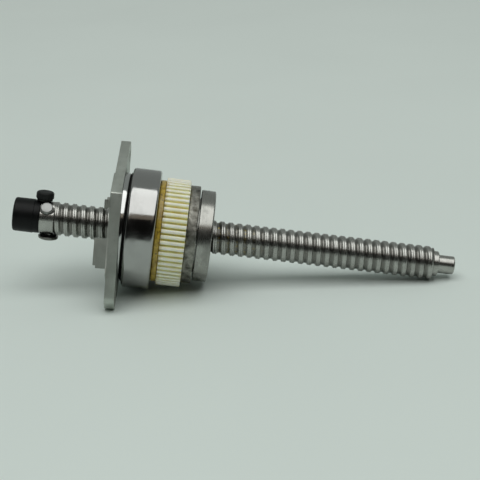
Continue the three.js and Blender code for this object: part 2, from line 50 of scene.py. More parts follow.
SCREW = {"left": -33.3, "right": 141.8, "shoulder": 144.4, "end": 152.1, "shoulder_r": 5.75, "journal_r": 4.2}
COLLAR = {"left": -39.9, "r": 7.5, "spigot_left": -49, "spigot_r": 5}
CAP = {"left": -52, "right": -40, "r": 7.75, "bore_r": 5.15, "bore_left": -49.3, "lip": 2.9}
BEARING = {"width": 13, "outer_r": 27.5, "bore_r": 15.1, "pitch_r": 21.25, "race_r": 3.95, "ball_r": 3.57,
           "balls": 11}
SHOULDER_OUT = 23.3
SHOULDER_IN = 19.2
SEAL = {"inset": 0.5, "thickness": 0.8, "inner_r": 19.5, "outer_r": 23.1}
PLATE = {"left": -7.3, "ear_left": -6.8, "right": -2.4, "bore_r": 18.5, "half_width": 29, "half_length": 41.8,
         "tip_half": 4.5, "tip_round": 2.5, "side_round": 0.6, "bolt_at": 35.5, "bolt_r": 2.7,
         "pad_up": 14.5, "pad_down": 31, "lean": math.radians(2.5),
         "rise": 1.5}
LUG = {"projection": 5.6, "length": 13, "depth": 5.2, "along": 23.6, "along_far": 16.2, "inset": 2.7,
       "notch": 1.2}
SPACER = {"left": -4.4, "right": -0.75, "inner_r": 19.6, "outer_r": 24.8}
GAP_RING = {"left": -0.65, "right": -0.1, "inner_r": 20, "outer_r": 25}
NUT = {"left": -4.6, "seat_r": 14.95, "seat_right": 13, "body_r": 17, "right": 36, "land_r": 8.35,
       "groove_r": 9.85}
WIPER = {"thickness": 2, "outer_r": 11.75, "inner_r": 8.05, "depth": 2.6, "pocket_r": 11.9}
CIRCLIP = {"left": -1.6, "right": -0.12, "inner_r": 14.25, "outer_r": 16.9, "gap": 0.5, "groove_r": 14.1}
CIRCUIT = {"centres": (3, 12, 24), "pitch_r": 8.25, "ball_r": 1.15, "spacing": 2.45, "balls": 16}
INSERT = {"r": 3, "hole": 3.15, "inner_r": 10.2, "clear_top": 0.5}
HUB = {"left": 13.1, "shoulder_r": 23.3, "shoulder_right": 15.5, "rim_r": 20.5, "right": 26.6, "bore_r": 17.1}
GEAR = {"left": 15.7, "right": 26.7, "teeth": 59, "tip_r": 24.65, "root_r": 22.95, "inner_r": 20.6}
THRUST = {"left": 26.8, "right": 31.4, "outer_r": 22.5, "bore_r": 17.1}
END = {"left": 32, "right": 38.6, "outer_r": 21, "bore_r": 17.1, "lip_left": 36.2, "lip_r": 9.2}
PIN = {"x": -35.8, "r": 2.2, "hole": 2.35, "far": 1.4, "head_r": 4.6, "head_top": 10.4, "head_base": 8.35}
SHOE = {"x": -38.7, "r": 4.1, "base": 7.95, "top": 12.1}
PEG = {"x": -38, "r": 1.4, "hole": 1.55, "end": 3.4}
WASHER = {"r": 3.8, "inner": 2.35, "base": 7.8, "top": 8.25}
DOWEL = {"x": -36.9, "r": 2.8, "hole": 2.92, "inner": 6.3, "outer": 9, "spot_r": 3.6, "spot_at": 7.1,
         "angle": math.pi / 4}
OWN_PLACE = "own_place"     # the attribute that holds a point's place in its piece's own axes
CLEAR = 0.1                 # gap between pieces that touch face to face
BLIND = 0.2                 # how much deeper a hole is than what sits in it

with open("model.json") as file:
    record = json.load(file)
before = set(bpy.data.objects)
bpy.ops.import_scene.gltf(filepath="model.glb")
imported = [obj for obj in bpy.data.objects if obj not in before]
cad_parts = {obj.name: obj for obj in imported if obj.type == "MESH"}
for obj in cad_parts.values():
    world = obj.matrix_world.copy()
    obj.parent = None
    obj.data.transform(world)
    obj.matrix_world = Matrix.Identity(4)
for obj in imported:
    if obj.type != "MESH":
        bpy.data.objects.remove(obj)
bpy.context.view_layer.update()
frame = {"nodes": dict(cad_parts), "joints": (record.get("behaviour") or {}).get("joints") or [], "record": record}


# ---- Axes ----------------------------------------------------------------------------------------------
def axes(origin, along, up):
    """A matrix whose X runs along `along` and whose Z is as near `up` as it can be."""
    x = Vector(along).normalized()
    y = Vector(up).cross(x).normalized()
    z = x.cross(y)
    turn = Matrix((x, y, z)).transposed().to_4x4()
    return Matrix.Translation(origin) @ turn


def middle_of(node):
    low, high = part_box(node)
    return (low + high) / 2


spin = next(j for j in frame["joints"] if j["name"] == "nut_spin")
LYING = axes(spin["pos_m"], spin["axis"], (0, 0, 1))
# The pin's washer is centred below the screw, on the pin's own axis.
_down = LYING.inverted() @ middle_of("pin_washer")
PINNED = axes(spin["pos_m"], spin["axis"], LYING.to_3x3() @ Vector((0, -_down.y, -_down.z)))
X_TO_Z = Matrix(((0, 0, -1, 0), (0, 1, 0, 0), (1, 0, 0, 0), (0, 0, 0, 1)))


def plate_place():
    """The plate sits high and leans. A mount on its outer face, towards a side vertex, gives both."""
    mount = next(m for m in frame["record"]["mounts"] if m["name"] == "retainer_outer_face")
    x = -Vector(mount["axis"]).normalized()
    pivot = LYING @ Vector((PLATE["right"] * MM, 0, PLATE["rise"] * MM))
    to_pad = Vector(mount["pos_m"]) - pivot
    y = -(to_pad - x * to_pad.dot(x)).normalized()
    turn = Matrix((x, y, x.cross(y))).transposed().to_4x4()
    return Matrix.Translation(pivot) @ turn @ Matrix.Translation((-PLATE["right"] * MM, 0, 0))


def pin_place(x, angle=0.0):
    """Where a piece turned about its own X goes, to stand on the collar at x, `angle` from the pin's axis."""
    return PINNED @ Matrix.Translation((x * MM, 0, 0)) @ Matrix.Rotation(angle, 4, "X") @ X_TO_Z


# ---- Mesh building -------------------------------------------------------------------------------------
def around(x, radius, angle):
    return Vector((x, radius * math.cos(angle), radius * math.sin(angle)))


def rounded(outline, steps=5):
    """Points of an outline of (x, radius, setback) corners, where a corner with a setback becomes an arc."""
    points = []
    for i, (x, r, setback) in enumerate(outline):
        here = Vector((x, r))
        before = Vector(outline[i - 1][:2])
        after = Vector(outline[(i + 1) % len(outline)][:2])
        if setback == 0:
            points.append(here)
            continue
        start = here + (before - here).normalized() * setback
        end = here + (after - here).normalized() * setback
        for k in range(steps + 1):
            t = k / steps
            points.append(start * (1 - t) ** 2 + here * 2 * t * (1 - t) + end * t * t)
    return points


def ring_of(bm, x, radius, sides):
    if radius < 1e-6:
        return [bm.verts.new((x, 0, 0))] * sides
    return [bm.verts.new(around(x, radius, 2 * math.pi * s / sides)) for s in range(sides)]


def add_face(bm, corners):
    distinct = []
    for vertex in corners:
        if vertex not in distinct:
            distinct.append(vertex)
    if len(distinct) > 2:
        bm.faces.new(distinct)


def bridge(bm, row, follow):
    for s in range(len(row)):
        t = (s + 1) % len(row)
        add_face(bm, (row[s], row[t], follow[t], follow[s]))


def turned(outline, sides=SIDES):
    """An outline of (x, radius) points turned about X. It closes on itself, or on the axis."""
    bm = bmesh.new()
    rows = [ring_of(bm, p[0], p[1], sides) for p in outline]
    for i, row in enumerate(rows):
        bridge(bm, row, rows[(i + 1) % len(rows)])
    return bm


def helical_wall(bm, left, right, radius_at, sides):
    """A wall round X whose radius follows a right-hand helix, cut square at both ends.

    Returns its two rims.
    """

    def offset(x, s):
        return (x - PHASE - LEAD * s / sides + LEAD / 2) % LEAD - LEAD / 2

    def vertex(x, s):
        return bm.verts.new(around(x, radius_at(offset(x, s)), 2 * math.pi * s / sides))

    left_rim = [vertex(left, s) for s in range(sides)]
    right_rim = [vertex(right, s) for s in range(sides)]
    first = math.floor((left - PHASE) / LEAD) - 2
    rows = (math.ceil((right - PHASE) / LEAD) + 1 - first) * STATIONS
    columns = []
    for s in range(sides):
        column = []
        for row in range(rows + STATIONS):
            x = PHASE + LEAD * (first + row / STATIONS + s / sides)
            if x <= left:
                column.append(left_rim[s])
            elif x >= right:
                column.append(right_rim[s])
            else:
                column.append(vertex(x, s))
        columns.append(column)
    columns.append(columns[0][STATIONS:])
    for s in range(sides):
        here, there = columns[s], columns[s + 1]
        for row in range(rows - 1):
            add_face(bm, (here[row], here[row + 1], there[row + 1], there[row]))
    loose = [v for v in bm.verts if not v.link_faces and v not in left_rim and v not in right_rim]
    bmesh.ops.delete(bm, geom=loose, context="VERTS")
    return left_rim, right_rim


def chain(bm, rim, outline, last=None):
    """Carries a rim on through rings at each (x, radius) point, then on to the rim `last` if there is one."""
    row = rim
    for x, r in outline:
        follow = ring_of(bm, x, r, len(rim))
        bridge(bm, row, follow)
        row = follow
    if last is not None:
        bridge(bm, row, last)


def block(x0, x1, y0, y1, z0, z1):
    bm = bmesh.new()
    middle = Vector(((x0 + x1) / 2, (y0 + y1) / 2, (z0 + z1) / 2))
    bmesh.ops.create_cube(bm, size=1)
    bmesh.ops.scale(bm, vec=(x1 - x0, y1 - y0, z1 - z0), verts=bm.verts)
    bmesh.ops.translate(bm, vec=middle, verts=bm.verts)
    return bm


def prism(points, left, right):
    """A flat outline of (y, z) points extruded along X."""
    bm = bmesh.new()
    near = [bm.verts.new((left, y, z)) for y, z in points]
    far = [bm.verts.new((right, y, z)) for y, z in points]
    bridge(bm, near, far)
    bm.faces.new(near)
    bm.faces.new(far)
    return bm


def moved(bm, matrix):
    bmesh.ops.transform(bm, matrix=matrix, verts=bm.verts)
    return bm


def to_object(name, bm):
    bmesh.ops.recalc_face_normals(bm, faces=bm.faces)
    mesh = bpy.data.meshes.new(name)
    bm.to_mesh(mesh)
    bm.free()
    made = bpy.data.objects.new(name, mesh)
    bpy.context.scene.collection.objects.link(made)
    return made


def apply_modifiers(made):
    depsgraph = bpy.context.evaluated_depsgraph_get()
    made.data = bpy.data.meshes.new_from_object(made.evaluated_get(depsgraph))
    made.modifiers.clear()


def carve(made, add=(), cut=()):
    """Joins the `add` meshes to a piece, then cuts the `cut` meshes from it."""
    tools = [("UNION", bm) for bm in add] + [("DIFFERENCE", bm) for bm in cut]
    for operation, bm in tools:
        tool = to_object("tool", bm)
        modifier = made.modifiers.new("carve", "BOOLEAN")
        modifier.operation = operation
        modifier.solver = "EXACT"
        modifier.object = tool
        apply_modifiers(made)
        bpy.data.objects.remove(tool)
    return made


def soften(made, width, segments=3, angle=35):
    """Rounds every sharp edge of a piece."""
    modifier = made.modifiers.new("soften", "BEVEL")
    modifier.width = width
    modifier.segments = segments
    modifier.limit_method = "ANGLE"
    modifier.angle_limit = math.radians(angle)
    apply_modifiers(made)
    return made


def place(made, where, body, slot, material, *nodes, sharp=38):
    """Puts a finished piece, modelled in millimetres, in the assembly in place of its CAD nodes.

    The mesh keeps each point's place in the piece's own axes as an attribute, which the materials read.
    """
    made.data.transform(Matrix.Scale(MM, 4))
    own = made.data.attributes.new(OWN_PLACE, "FLOAT_VECTOR", "POINT")
    own.data.foreach_set("vector", [number for v in made.data.vertices for number in v.co])
    made.data.transform(where)
    made.data.shade_smooth()
    made.data.set_sharp_from_angle(angle=math.radians(sharp))
    made.data.materials.clear()
    made.data.materials.append(material)
    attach(made, body)
    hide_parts(*nodes)
    return made


# ---- Materials -----------------------------------------------------------------------------------------
class Shader:
    """A principled material and short ways to add nodes to it."""

    def __init__(self, name, metallic=0.0, own_axes=True):
        self.material = bpy.data.materials.new(name)
        self.material.use_nodes = True
        self.tree = self.material.node_tree
        self.tree.nodes.clear()
        output = self.tree.nodes.new("ShaderNodeOutputMaterial")
        self.principled = self.tree.nodes.new("ShaderNodeBsdfPrincipled")
        self.principled.inputs["Metallic"].default_value = metallic
        self.tree.links.new(self.principled.outputs[0], output.inputs["Surface"])
        if own_axes:
            attribute = self.tree.nodes.new("ShaderNodeAttribute")
            attribute.attribute_name = OWN_PLACE
            self.place = attribute.outputs["Vector"]
        else:
            self.place = self.tree.nodes.new("ShaderNodeTexCoord").outputs["Object"]

    def feed(self, socket, value):
        if isinstance(value, bpy.types.NodeSocket):
            self.tree.links.new(value, socket)
        else:
            socket.default_value = value

    def math(self, operation, *values):
        node = self.tree.nodes.new("ShaderNodeMath")
        node.operation = operation
        for socket, value in zip(node.inputs, values):
            self.feed(socket, value)
        return node.outputs[0]

    def radial(self):
        """Distance along and out from the piece's own turning axis, in millimetres."""
        split = self.tree.nodes.new("ShaderNodeSeparateXYZ")
        self.feed(split.inputs[0], self.place)
        x, y, z = split.outputs
        out = self.math("SQRT", self.math("ADD", self.math("MULTIPLY", y, y), self.math("MULTIPLY", z, z)))
        return self.math("MULTIPLY", x, 1 / MM), self.math("MULTIPLY", out, 1 / MM)

    def noise(self, size, detail=3.0, vector=None, rough=0.55):
        """Noise whose features are about `size` millimetres across, in the vector's own millimetres."""
        node = self.tree.nodes.new("ShaderNodeTexNoise")
        node.inputs["Scale"].default_value = 1 / (size * MM) if vector is None else 1 / size
        node.inputs["Detail"].default_value = detail
        node.inputs["Roughness"].default_value = rough
        self.feed(node.inputs["Vector"], self.place if vector is None else vector)
        return node.outputs["Fac"]

    def rings(self, size, detail=2.0):
        """Noise that changes along and out from the turning axis only, as lathe marks do."""
        x, out = self.radial()
        joined = self.tree.nodes.new("ShaderNodeCombineXYZ")
        self.feed(joined.inputs[0], x)
        self.feed(joined.inputs[1], out)
        return self.noise(size, detail, joined.outputs[0])

    def span(self, value, low, high, to_low=0.0, to_high=1.0):
        node = self.tree.nodes.new("ShaderNodeMapRange")
        for socket, number in zip(node.inputs, (value, low, high, to_low, to_high)):
            self.feed(socket, number)
        return node.outputs[0]

    def blend(self, share, first, second):
        node = self.tree.nodes.new("ShaderNodeMix")
        node.data_type = "RGBA"
        self.feed(node.inputs["Factor"], share)
        for key, colour in (("A", first), ("B", second)):
            socket = next(s for s in node.inputs if s.name == key and s.type == "RGBA")
            self.feed(socket, colour if isinstance(colour, bpy.types.NodeSocket) else (*colour, 1))
        return next(s for s in node.outputs if s.type == "RGBA")

    def bump(self, height, depth, strength=1.0):
        """Adds relief whose full height is `depth` millimetres."""
        node = self.tree.nodes.new("ShaderNodeBump")
        node.inputs["Strength"].default_value = strength
        node.inputs["Distance"].default_value = depth * MM
        self.feed(node.inputs["Height"], height)
        normal = self.principled.inputs["Normal"]
        if normal.is_linked:
            self.feed(node.inputs["Normal"], normal.links[0].from_socket)
        self.feed(normal, node.outputs[0])

    def set(self, **values):
        for key, value in values.items():
            self.feed(self.principled.inputs[key.replace("_", " ")], value)
        return self.material


def colour_of(*levels):
    """Linear colour from 0 to 255 screen levels."""
    return tuple(((v / 255 + 0.055) / 1.055) ** 2.4 if v > 10 else v / 255 / 12.92 for v in levels)


def turned_steel(name, tone, rough, marks=0.25, relief=0.004, smudge=0.3, grime=0.5):
    """Turned or ground steel: lathe rings, faint smudges of oil, and a little variation in tone."""
    s = Shader(name, metallic=1.0)
    lines = s.rings(marks)
    patches = s.span(s.noise(7, 4), 0.45, 0.72)
    dark = tuple(c * grime for c in tone)
    worn = s.span(lines, 0.3, 0.7, 0.0, 0.25)
    share = s.math("ADD", s.math("MULTIPLY", patches, smudge), s.math("MULTIPLY", worn, smudge))
    base = s.blend(share, tone, dark)
    marked = s.span(lines, 0.3, 0.7, rough * 0.8, rough * 1.2)
    roughness = s.math("ADD", marked, s.math("MULTIPLY", patches, 0.14))
    s.bump(lines, relief)
    return s.set(Base_Color=base, Roughness=roughness)


def screw_steel():
    """Rolled thread: bright lands, grooves painted darker as painted shade in the hollows, and yellow grease where
    it comes out of the nut.
    """
    s = Shader("screw_steel", metallic=1.0)
    x, out = s.radial()
    grain = s.noise(0.35, 4)
    patches = s.span(s.noise(5, 4), 0.45, 0.7)
    on_thread = s.span(out, SCREW["shoulder_r"] + 0.3, SCREW["shoulder_r"] + 0.6)
    groove = s.math("MULTIPLY", s.span(out, ROOT_R, THREAD_R - 0.35, 1.0, 0.0), on_thread)
    # Painted shade: the colour darkens towards each groove's root, where shade falls in the thread.
    tone = s.blend(s.math("MULTIPLY", groove, 0.8), (0.42, 0.42, 0.395), (0.10, 0.096, 0.085))
    tone = s.blend(s.math("MULTIPLY", patches, 0.35), tone, (0.20, 0.19, 0.175))
    fading = s.span(x, END["right"] + 26, END["right"])
    near_nut = s.math("MULTIPLY", fading, s.span(x, END["lip_left"], END["right"]))
    spots = s.span(s.noise(1.4, 3), 0.52, 0.62)
    grease = s.math("MULTIPLY", s.math("MULTIPLY", near_nut, spots), s.span(groove, 0.2, 0.7))
    tone = s.blend(s.math("MULTIPLY", grease, 0.85), tone, (0.40, 0.30, 0.05))
    s.bump(grain, 0.006)
    return s.set(Base_Color=tone, Roughness=s.span(grain, 0.3, 0.7, 0.2, 0.36))


def cast_steel():
    """The rough ring: dark, pitted and smudged."""
    s = Shader("cast_steel", metallic=1.0)
    grain = s.noise(0.7, 6, rough=0.7)
    patches = s.noise(4.5, 5, rough=0.65)
    base = s.blend(s.span(patches, 0.35, 0.66), (0.34, 0.335, 0.30), (0.06, 0.057, 0.046))
    s.bump(grain, 0.16)
    s.bump(s.noise(0.2, 3), 0.03)
    return s.set(Base_Color=base, Roughness=s.span(grain, 0.3, 0.7, 0.28, 0.52))


def plate_grey():
    """Matt grey metal with a fine grain and faint mottling."""
    s = Shader("plate_grey", metallic=1.0)
    grain = s.noise(0.16, 3)
    cloud = s.noise(9, 4)
    base = s.blend(s.span(cloud, 0.35, 0.68), (0.50, 0.53, 0.485), (0.40, 0.425, 0.385))
    base = s.blend(s.span(s.noise(1.1, 4), 0.60, 0.75, 0.0, 0.5), base, (0.30, 0.30, 0.265))
    s.bump(grain, 0.02)
    return s.set(Base_Color=base, Roughness=s.span(grain, 0.3, 0.7, 0.42, 0.56))


def moulded(name, tone, rough, relief=0.01, lift=1.7):
    """Moulded plastic or rubber with a fine skin and lighter scuffs."""
    s = Shader(name)
    grain = s.noise(0.12, 2)
    scuffs = s.span(s.noise(2.6, 5, rough=0.65), 0.52, 0.8)
    base = s.blend(scuffs, tone, tuple(c * lift for c in tone))
    s.bump(grain, relief)
    s.principled.inputs["Specular IOR Level"].default_value = 0.18
    return s.set(Base_Color=base, Roughness=s.span(s.noise(3.5, 4), 0.3, 0.7, rough * 0.85, rough * 1.15))


def gear_nylon():
    """Cream nylon: nearly white tips, and yellow-green roots where grease has stained it."""
    s = Shader("gear_nylon")
    x, out = s.radial()
    depth = s.span(out, GEAR["root_r"] + 0.1, GEAR["tip_r"] - 0.25, 1.0, 0.0)
    cloud = s.span(s.noise(6, 3), 0.35, 0.7)
    tips = s.blend(cloud, colour_of(250, 250, 236), colour_of(243, 243, 220))
    roots = s.blend(cloud, colour_of(250, 243, 176), colour_of(240, 230, 148))
    base = s.blend(s.math("POWER", depth, 0.8), tips, roots)
    at_left = s.span(x, GEAR["left"] + 1.6, GEAR["left"])
    edge = s.math("MULTIPLY", at_left, s.span(s.noise(2.2, 3), 0.35, 0.65))
    base = s.blend(s.math("MULTIPLY", edge, 0.7), base, colour_of(176, 150, 62))
    s.bump(s.noise(0.5, 3), 0.015)
    made = s.set(Base_Color=base, Roughness=s.span(s.noise(1.5, 3), 0.3, 0.7, 0.32, 0.5))
    s.principled.inputs["Subsurface Weight"].default_value = 0.5
    s.principled.inputs["Subsurface Radius"].default_value = (1.0, 0.9, 0.6)
    s.principled.inputs["Subsurface Scale"].default_value = 1.2 * MM
    return made


def amber_plastic():
    """The amber hub under a film of old grease."""
    s = Shader("amber_plastic")
    cloud = s.noise(3.2, 5, rough=0.65)
    base = s.blend(s.span(cloud, 0.36, 0.64), colour_of(206, 178, 66), colour_of(146, 116, 22))
    base = s.blend(s.span(s.noise(1.2, 4), 0.55, 0.72), base, colour_of(84, 64, 16))
    s.bump(s.noise(1.0, 4), 0.05)
    made = s.set(Base_Color=base, Roughness=s.span(cloud, 0.3, 0.7, 0.28, 0.5))
    s.principled.inputs["Coat Weight"].default_value = 0.4
    s.principled.inputs["Coat Roughness"].default_value = 0.15
    return made


def cage_brass():
    """Pressed brass, seen only when the bearing is opened."""
    s = Shader("cage_brass", metallic=1.0, own_axes=False)
    cloud = s.noise(3, 4)
    s.bump(s.noise(0.3, 3), 0.01)
    base = s.blend(s.span(cloud, 0.35, 0.7), (0.62, 0.45, 0.20), (0.45, 0.31, 0.12))
    return s.set(Base_Color=base, Roughness=s.span(cloud, 0.3, 0.7, 0.28, 0.42))


SCREW_STEEL = screw_steel()
BEARING_STEEL = turned_steel("bearing_steel", (0.385, 0.385, 0.375), 0.10, marks=0.12, relief=0.0008,
                             smudge=0.12)
BALL_STEEL = turned_steel("ball_steel", (0.70, 0.69, 0.68), 0.07, marks=0.4, relief=0.0003, smudge=0.08)
POLISHED = turned_steel("polished_steel", (0.50, 0.505, 0.495), 0.07, marks=0.2, relief=0.0006, smudge=0.05)
DOWEL_STEEL = turned_steel("dowel_steel", (0.31, 0.315, 0.305), 0.34, marks=0.3, relief=0.004, smudge=0.15)
PIN_STEEL = turned_steel("pin_steel", (0.19, 0.19, 0.175), 0.26, marks=0.35, relief=0.004, smudge=0.3)
RING_STEEL = turned_steel("ring_steel", (0.36, 0.36, 0.335), 0.24, marks=0.22, relief=0.006, smudge=0.6,
                          grime=0.35)
CAST_STEEL = cast_steel()
PLATE_GREY = plate_grey()
BLACK_PLASTIC = moulded("black_plastic", (0.0025, 0.003, 0.003), 0.42)
SHOE_PLASTIC = moulded("shoe_plastic", (0.012, 0.013, 0.0125), 0.48)
BLACK_RUBBER = moulded("black_rubber", (0.006, 0.006, 0.006), 0.7, relief=0.02)
CREAM = gear_nylon()
AMBER = amber_plastic()
BRASS = cage_brass()


# ---- Screw and what it carries ---------------------------------------------------------------------------
def smooth_min(a, b, width):
    h = min(max(0.5 + 0.5 * (b - a) / width, 0.0), 1.0)
    return b * (1 - h) + a * h - width * h * (1 - h)


def thread_radius(u):
    """Radius at u millimetres from a groove's centre: a gothic-arch track, and a crowned land with a seam."""
    away = abs(u)
    track_r, apex = 1.25, 0.1
    centre = ROOT_R + math.sqrt(track_r ** 2 - apex ** 2)
    reach = away + apex
    if reach < track_r:
        track = centre - math.sqrt(track_r ** 2 - reach ** 2)
    else:
        track = centre + 4 * (reach - track_r)
    to_middle = LEAD / 2 - away
    land = THREAD_R - 0.09 * (to_middle / 0.8) ** 2 - max(0.0, 0.16 - 0.5 * to_middle)
    return smooth_min(track, land, 0.22)


def collar_hole(x, outline, angle=0.0):
    """The shape to cut from the collar for a piece that stands on it at x."""
    closed = [(outline[0][0], 0), *outline, (outline[-1][0], 0)]
    in_millimetres = Matrix.Scale(1 / MM, 4) @ LYING.inverted() @ pin_place(x, angle) @ Matrix.Scale(MM, 4)
    return moved(turned(closed, PIN_SIDES), in_millimetres)


def screw_shaft():
    bm = bmesh.new()
    left_rim, right_rim = helical_wall(bm, SCREW["left"], SCREW["right"], thread_radius, THREAD_SIDES)
    left_end = rounded([
        (SCREW["left"], 5.6, 0), (SCREW["left"], COLLAR["r"], 0.3), (COLLAR["left"], COLLAR["r"], 0.25),
        (COLLAR["left"], COLLAR["spigot_r"], 0), (COLLAR["spigot_left"], COLLAR["spigot_r"], 0.5),
        (COLLAR["spigot_left"], 0, 0),
    ])[1:]
    right_end = rounded([
        (SCREW["right"], THREAD_R, 0), (SCREW["right"], SCREW["shoulder_r"], 0),
        (SCREW["shoulder"], SCREW["shoulder_r"], 0.35), (SCREW["shoulder"], SCREW["journal_r"], 0.2),
        (SCREW["end"], SCREW["journal_r"], 0.6), (SCREW["end"], 0, 0),
    ])[1:]
    chain(bm, left_rim, left_end)
    chain(bm, right_rim, right_end)
    dowel_hole = [
        (DOWEL["inner"] - BLIND, DOWEL["hole"]), (DOWEL["spot_at"], DOWEL["hole"]),
        (DOWEL["spot_at"] + 0.25, DOWEL["spot_r"]), (20, DOWEL["spot_r"]),
    ]
    holes = [
        collar_hole(PIN["x"], [(-20, PIN["hole"]), (PIN["far"] + BLIND, PIN["hole"])]),
        collar_hole(PEG["x"], [(PEG["end"] - BLIND, PEG["hole"]), (20, PEG["hole"])]),
        collar_hole(DOWEL["x"], dowel_hole, DOWEL["angle"]),
    ]
    made = carve(to_object("ball_screw", bm), cut=holes)
    return place(made, LYING, "screw", "screw_steel", SCREW_STEEL, "screw_shaft")


def end_cap():
    c = CAP
    outline = rounded([
        (c["left"], 0, 0), (c["left"], c["r"] - 0.05, 1.0), (c["right"] - c["lip"], c["r"], 0.12),
        (c["right"] - c["lip"] + 0.15, c["r"] - 0.17, 0.05), (c["right"], c["r"] - 0.2, 0.3),
        (c["right"], c["bore_r"], 0.2), (c["bore_left"], c["bore_r"], 0), (c["bore_left"], 0, 0),
    ])
    place(to_object("cap", turned(outline)), LYING, "screw", "black_plastic", BLACK_PLASTIC, "end_cap")


def pins():
    p = PIN
    head = rounded([
        (-p["head_top"], 0, 0), (-p["head_top"] + 0.15, p["head_r"] * 0.6, 0.9),
        (-p["head_top"] + 0.9, p["head_r"], 0.5), (-p["head_base"], p["head_r"], 0.25),
        (-p["head_base"], p["r"], 0.1), (p["far"], p["r"], 0.3), (p["far"], 0, 0),
    ])
    place(to_object("headed_pin", turned(head, PIN_SIDES)), pin_place(p["x"]), "screw", "polished_steel",
          PIN_STEEL, "cross_pin")

    w = WASHER
    washer = rounded([
        (-w["top"], w["inner"], 0.08), (-w["top"], w["r"], 0.2), (-w["base"], w["r"], 0.2),
        (-w["base"], w["inner"], 0.08),
    ])
    place(to_object("rubber_washer", turned(washer, PIN_SIDES)), pin_place(p["x"]), "screw", "black_rubber",
          BLACK_RUBBER, "pin_washer")

    s, g = SHOE, PEG
    shoe = rounded([
        (s["base"], 0, 0), (s["base"], s["r"] - 0.55, 0.15), (s["base"] + 0.9, s["r"] - 0.45, 0.2),
        (s["base"] + 1.15, s["r"], 0.3), (s["top"] - 0.05, s["r"] - 0.1, 1.2), (s["top"], s["r"] * 0.45, 1.2),
        (s["top"], 0, 0),
    ], steps=7)
    peg = rounded([
        (g["end"], 0, 0), (g["end"], g["r"], 0.25), (s["base"] + 1, g["r"], 0), (s["base"] + 1, 0, 0),
    ])
    # The peg is beside the shoe's middle: the piece's own -Z is the screw's +X.
    peg_mesh = moved(turned(peg, 48), Matrix.Translation((0, 0, s["x"] - g["x"])))
    made = carve(to_object("shoe", turned(shoe, PIN_SIDES)), add=[peg_mesh])
    place(made, pin_place(s["x"]), "screw", "black_plastic", SHOE_PLASTIC, "guide_shoe")

    d = DOWEL
    dowel = rounded([
        (d["inner"], 0, 0), (d["inner"], d["r"], 0.3), (d["outer"] - 0.2, d["r"], 0.5),
        (d["outer"], d["r"] * 0.6, 0.6), (d["outer"], 0, 0),
    ])
    place(to_object("dowel", turned(dowel, PIN_SIDES)), pin_place(d["x"], d["angle"]), "screw",
          "polished_steel", DOWEL_STEEL, "locking_dowel")


# ---- Bearing ---------------------------------------------------------------------------------------------
def raceway(shoulder_r, outward, steps=16):
    """Points round a ball track, from the right shoulder to the left one."""
    b = BEARING
    reach = math.acos(outward * (shoulder_r - b["pitch_r"]) / b["race_r"])
    points = []
    for i in range(steps + 1):
        angle = reach * (1 - 2 * i / steps)
        points.append((b["width"] / 2 + b["race_r"] * math.sin(angle),
                       b["pitch_r"] + outward * b["race_r"] * math.cos(angle)))
    return points


def bearing():
    b = BEARING
    w = b["width"]
    lip = 0.35
    outer = rounded([
        (0, SHOULDER_OUT, 0.15), (0, b["outer_r"], 1.45), (w, b["outer_r"], 1.45), (w, SHOULDER_OUT, 0.15),
        (w - lip, SHOULDER_OUT, 0),
    ], steps=8) + [Vector(p) for p in raceway(SHOULDER_OUT, 1)] + [Vector((lip, SHOULDER_OUT))]
    place(to_object("outer_race", turned(outer, 192)), LYING, "housing_side", "bearing_steel", BEARING_STEEL,
          "bearing_outer_ring")
    inner = rounded([
        (0, SHOULDER_IN, 0.15), (0, b["bore_r"], 0.6), (w, b["bore_r"], 0.6), (w, SHOULDER_IN, 0.15),
    ]) + [Vector(p) for p in raceway(SHOULDER_IN, -1)]
    place(to_object("inner_race", turned(inner)), LYING, "nut", "bearing_steel", BEARING_STEEL,
          "bearing_inner_ring")

    for side, left in (("left", SEAL["inset"]), ("right", w - SEAL["inset"] - SEAL["thickness"])):
        right = left + SEAL["thickness"]
        low, high = SEAL["inner_r"], SEAL["outer_r"]
        seal = rounded([
            (left, low, 0.1), (left, low + 0.5, 0.1), (left + 0.2, low + 0.8, 0.1),
            (left + 0.2, high - 0.8, 0.1), (left, high - 0.5, 0.1), (left, high, 0.1),
            (right, high, 0.1), (right, high - 0.5, 0.1), (right - 0.2, high - 0.8, 0.1),
            (right - 0.2, low + 0.8, 0.1), (right, low + 0.5, 0.1), (right, low, 0.1),
        ], steps=2)
        place(to_object(f"seal_{side}", turned(seal)), LYING, "housing_side", "black_rubber", BLACK_RUBBER,
              f"bearing_seal_{side}")

    for i in range(b["balls"]):
        ball = bmesh.new()
        bmesh.ops.create_uvsphere(ball, u_segments=32, v_segments=18, radius=b["ball_r"])
        middle = around(w / 2, b["pitch_r"], 2 * math.pi * i / b["balls"])
        place(to_object(f"race_ball_{i + 1:02d}", moved(ball, Matrix.Translation(middle))), LYING, "cage",
              "bearing_steel", BALL_STEEL, f"bearing_ball_{i + 1:02d}")
    frame["nodes"]["bearing_cage"].data.materials.clear()
    frame["nodes"]["bearing_cage"].data.materials.append(BRASS)


# ---- Retainer --------------------------------------------------------------------------------------------
def plate_outline():
    p = PLATE
    w, l, t = p["half_width"], p["half_length"], p["tip_half"]
    return rounded([
        (w, 0, p["side_round"]), (t, l, p["tip_round"]), (-t, l, p["tip_round"]),
        (-w, 0, p["side_round"]), (-t, -l, p["tip_round"]), (t, -l, p["tip_round"]),
    ], steps=6)


